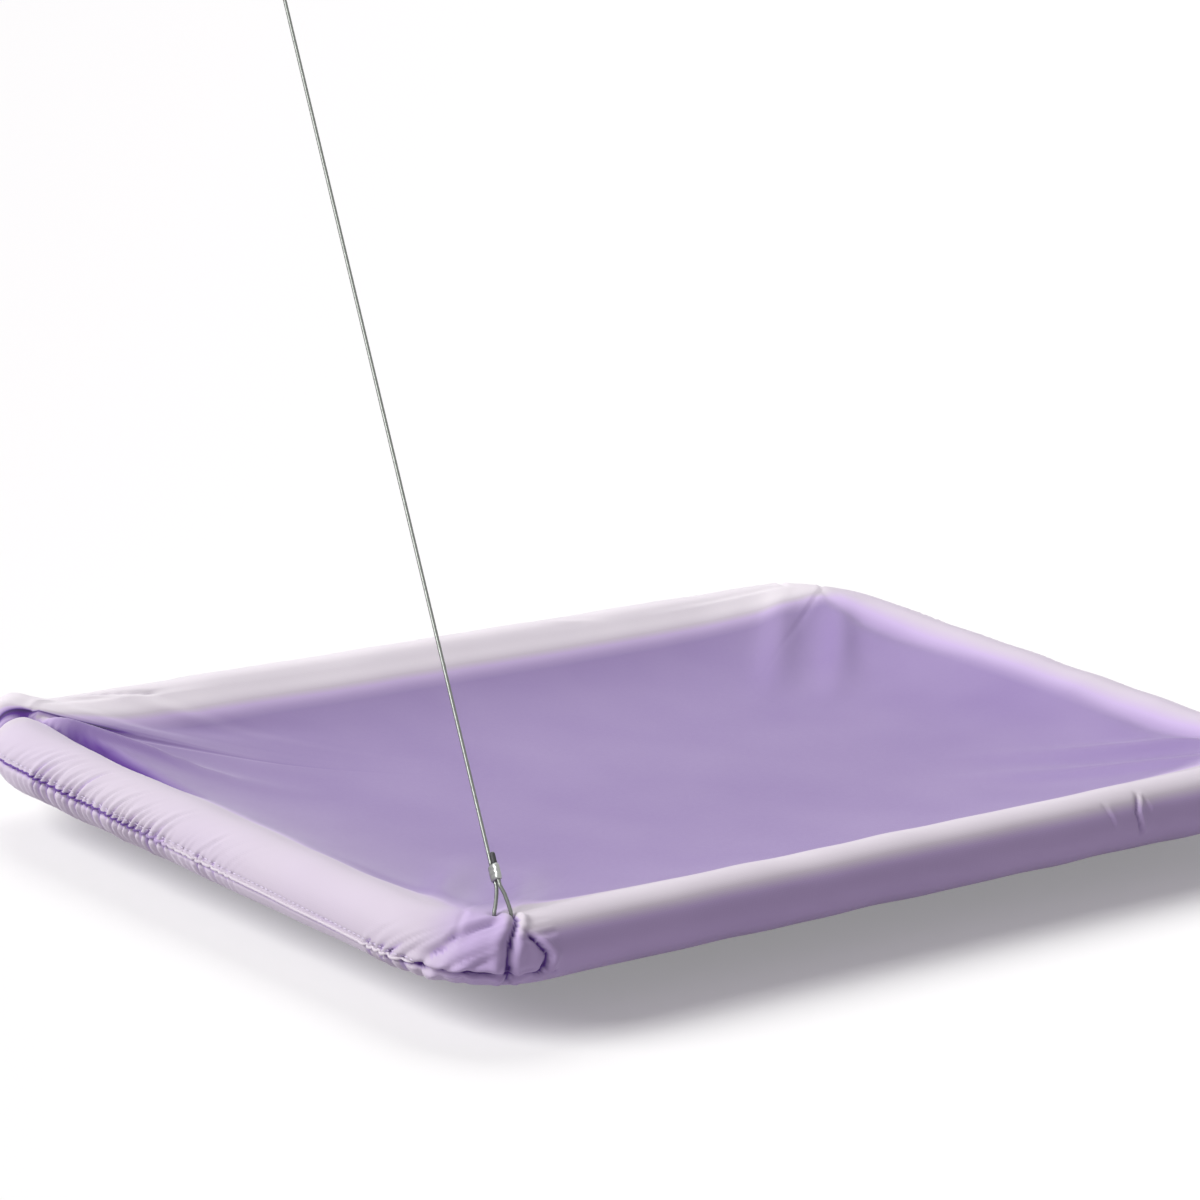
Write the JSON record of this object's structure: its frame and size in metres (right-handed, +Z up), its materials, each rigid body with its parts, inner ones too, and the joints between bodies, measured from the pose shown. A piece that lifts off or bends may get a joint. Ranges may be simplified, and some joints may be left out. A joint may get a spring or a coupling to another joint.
{
  "type": "cat hammock",
  "caption": "Window cat hammock: a rectangular pipe frame in a sagging cloth cover, carried at the rear by hooked suction cups and held level by a steel wire cable to an upper suction cup.",
  "frame": {"origin": "on the window's face, midway along the rear pipe, at the height of the pipe's axis", "axes": "+X along the window, +Y into the window, +Z up"},
  "size_m": [0.5854, 0.3956, 0.456],
  "materials": {
    "pipe_plastic": "extruded, satin",
    "elbow_plastic": "moulded, satin",
    "cover_cloth": "brushed woven cloth, soft sheen",
    "seam_cloth": "folded and stitched cloth edge",
    "wire_rope": "twisted wire rope, galvanised",
    "ferrule_metal": "crimped, dull",
    "cap_rubber": "shrunk on, matt",
    "clear_cup": "clear moulded vinyl, glossy",
    "bright_steel": "zinc plated",
    "knob_plastic": "moulded, satin",
    "hook_plastic": "moulded, satin"
  },
  "bodies": {
    "window_mount": {"rear_left_cup": "clear_cup", "rear_right_cup": "clear_cup", "rear_left_hook": "hook_plastic", "rear_right_hook": "hook_plastic", "upper_cup": "clear_cup", "upper_stud": "bright_steel", "hanger_plate": "bright_steel", "upper_loop": "wire_rope", "upper_ferrule": "ferrule_metal", "cable_run": "wire_rope"},
    "bed": {"front_pipe": "pipe_plastic", "rear_pipe": "pipe_plastic", "left_pipe": "pipe_plastic", "right_pipe": "pipe_plastic", "front_left_elbow": "elbow_plastic", "front_right_elbow": "elbow_plastic", "rear_right_elbow": "elbow_plastic", "rear_left_elbow": "elbow_plastic", "front_sleeve": "cover_cloth", "rear_sleeve": "cover_cloth", "left_sleeve": "cover_cloth", "right_sleeve": "cover_cloth", "front_left_cover_corner": "cover_cloth", "front_right_cover_corner": "cover_cloth", "rear_right_cover_corner": "cover_cloth", "rear_left_cover_corner": "cover_cloth", "top_panel": "cover_cloth", "bottom_panel": "cover_cloth", "left_seam_piping": "seam_cloth", "right_seam_piping": "seam_cloth", "corner_loop": "wire_rope", "tail_cap": "cap_rubber", "lower_ferrule": "ferrule_metal"},
    "screw_knob": {"upper_knob": "knob_plastic"}
  },
  "joints": [
    {"name": "bed_fold", "type": "hinge", "parent": "window_mount", "child": "bed", "pos_m": [0, -0.03, 0], "axis": [-1, 0, 0], "range_deg": [0, 70], "deforming": ["cable_run"]},
    {"name": "knob_turn", "type": "hinge", "parent": "window_mount", "child": "screw_knob", "pos_m": [-0.12878, -0.02, 0.39501], "axis": [0, -1, 0], "continuous": true}
  ]
}
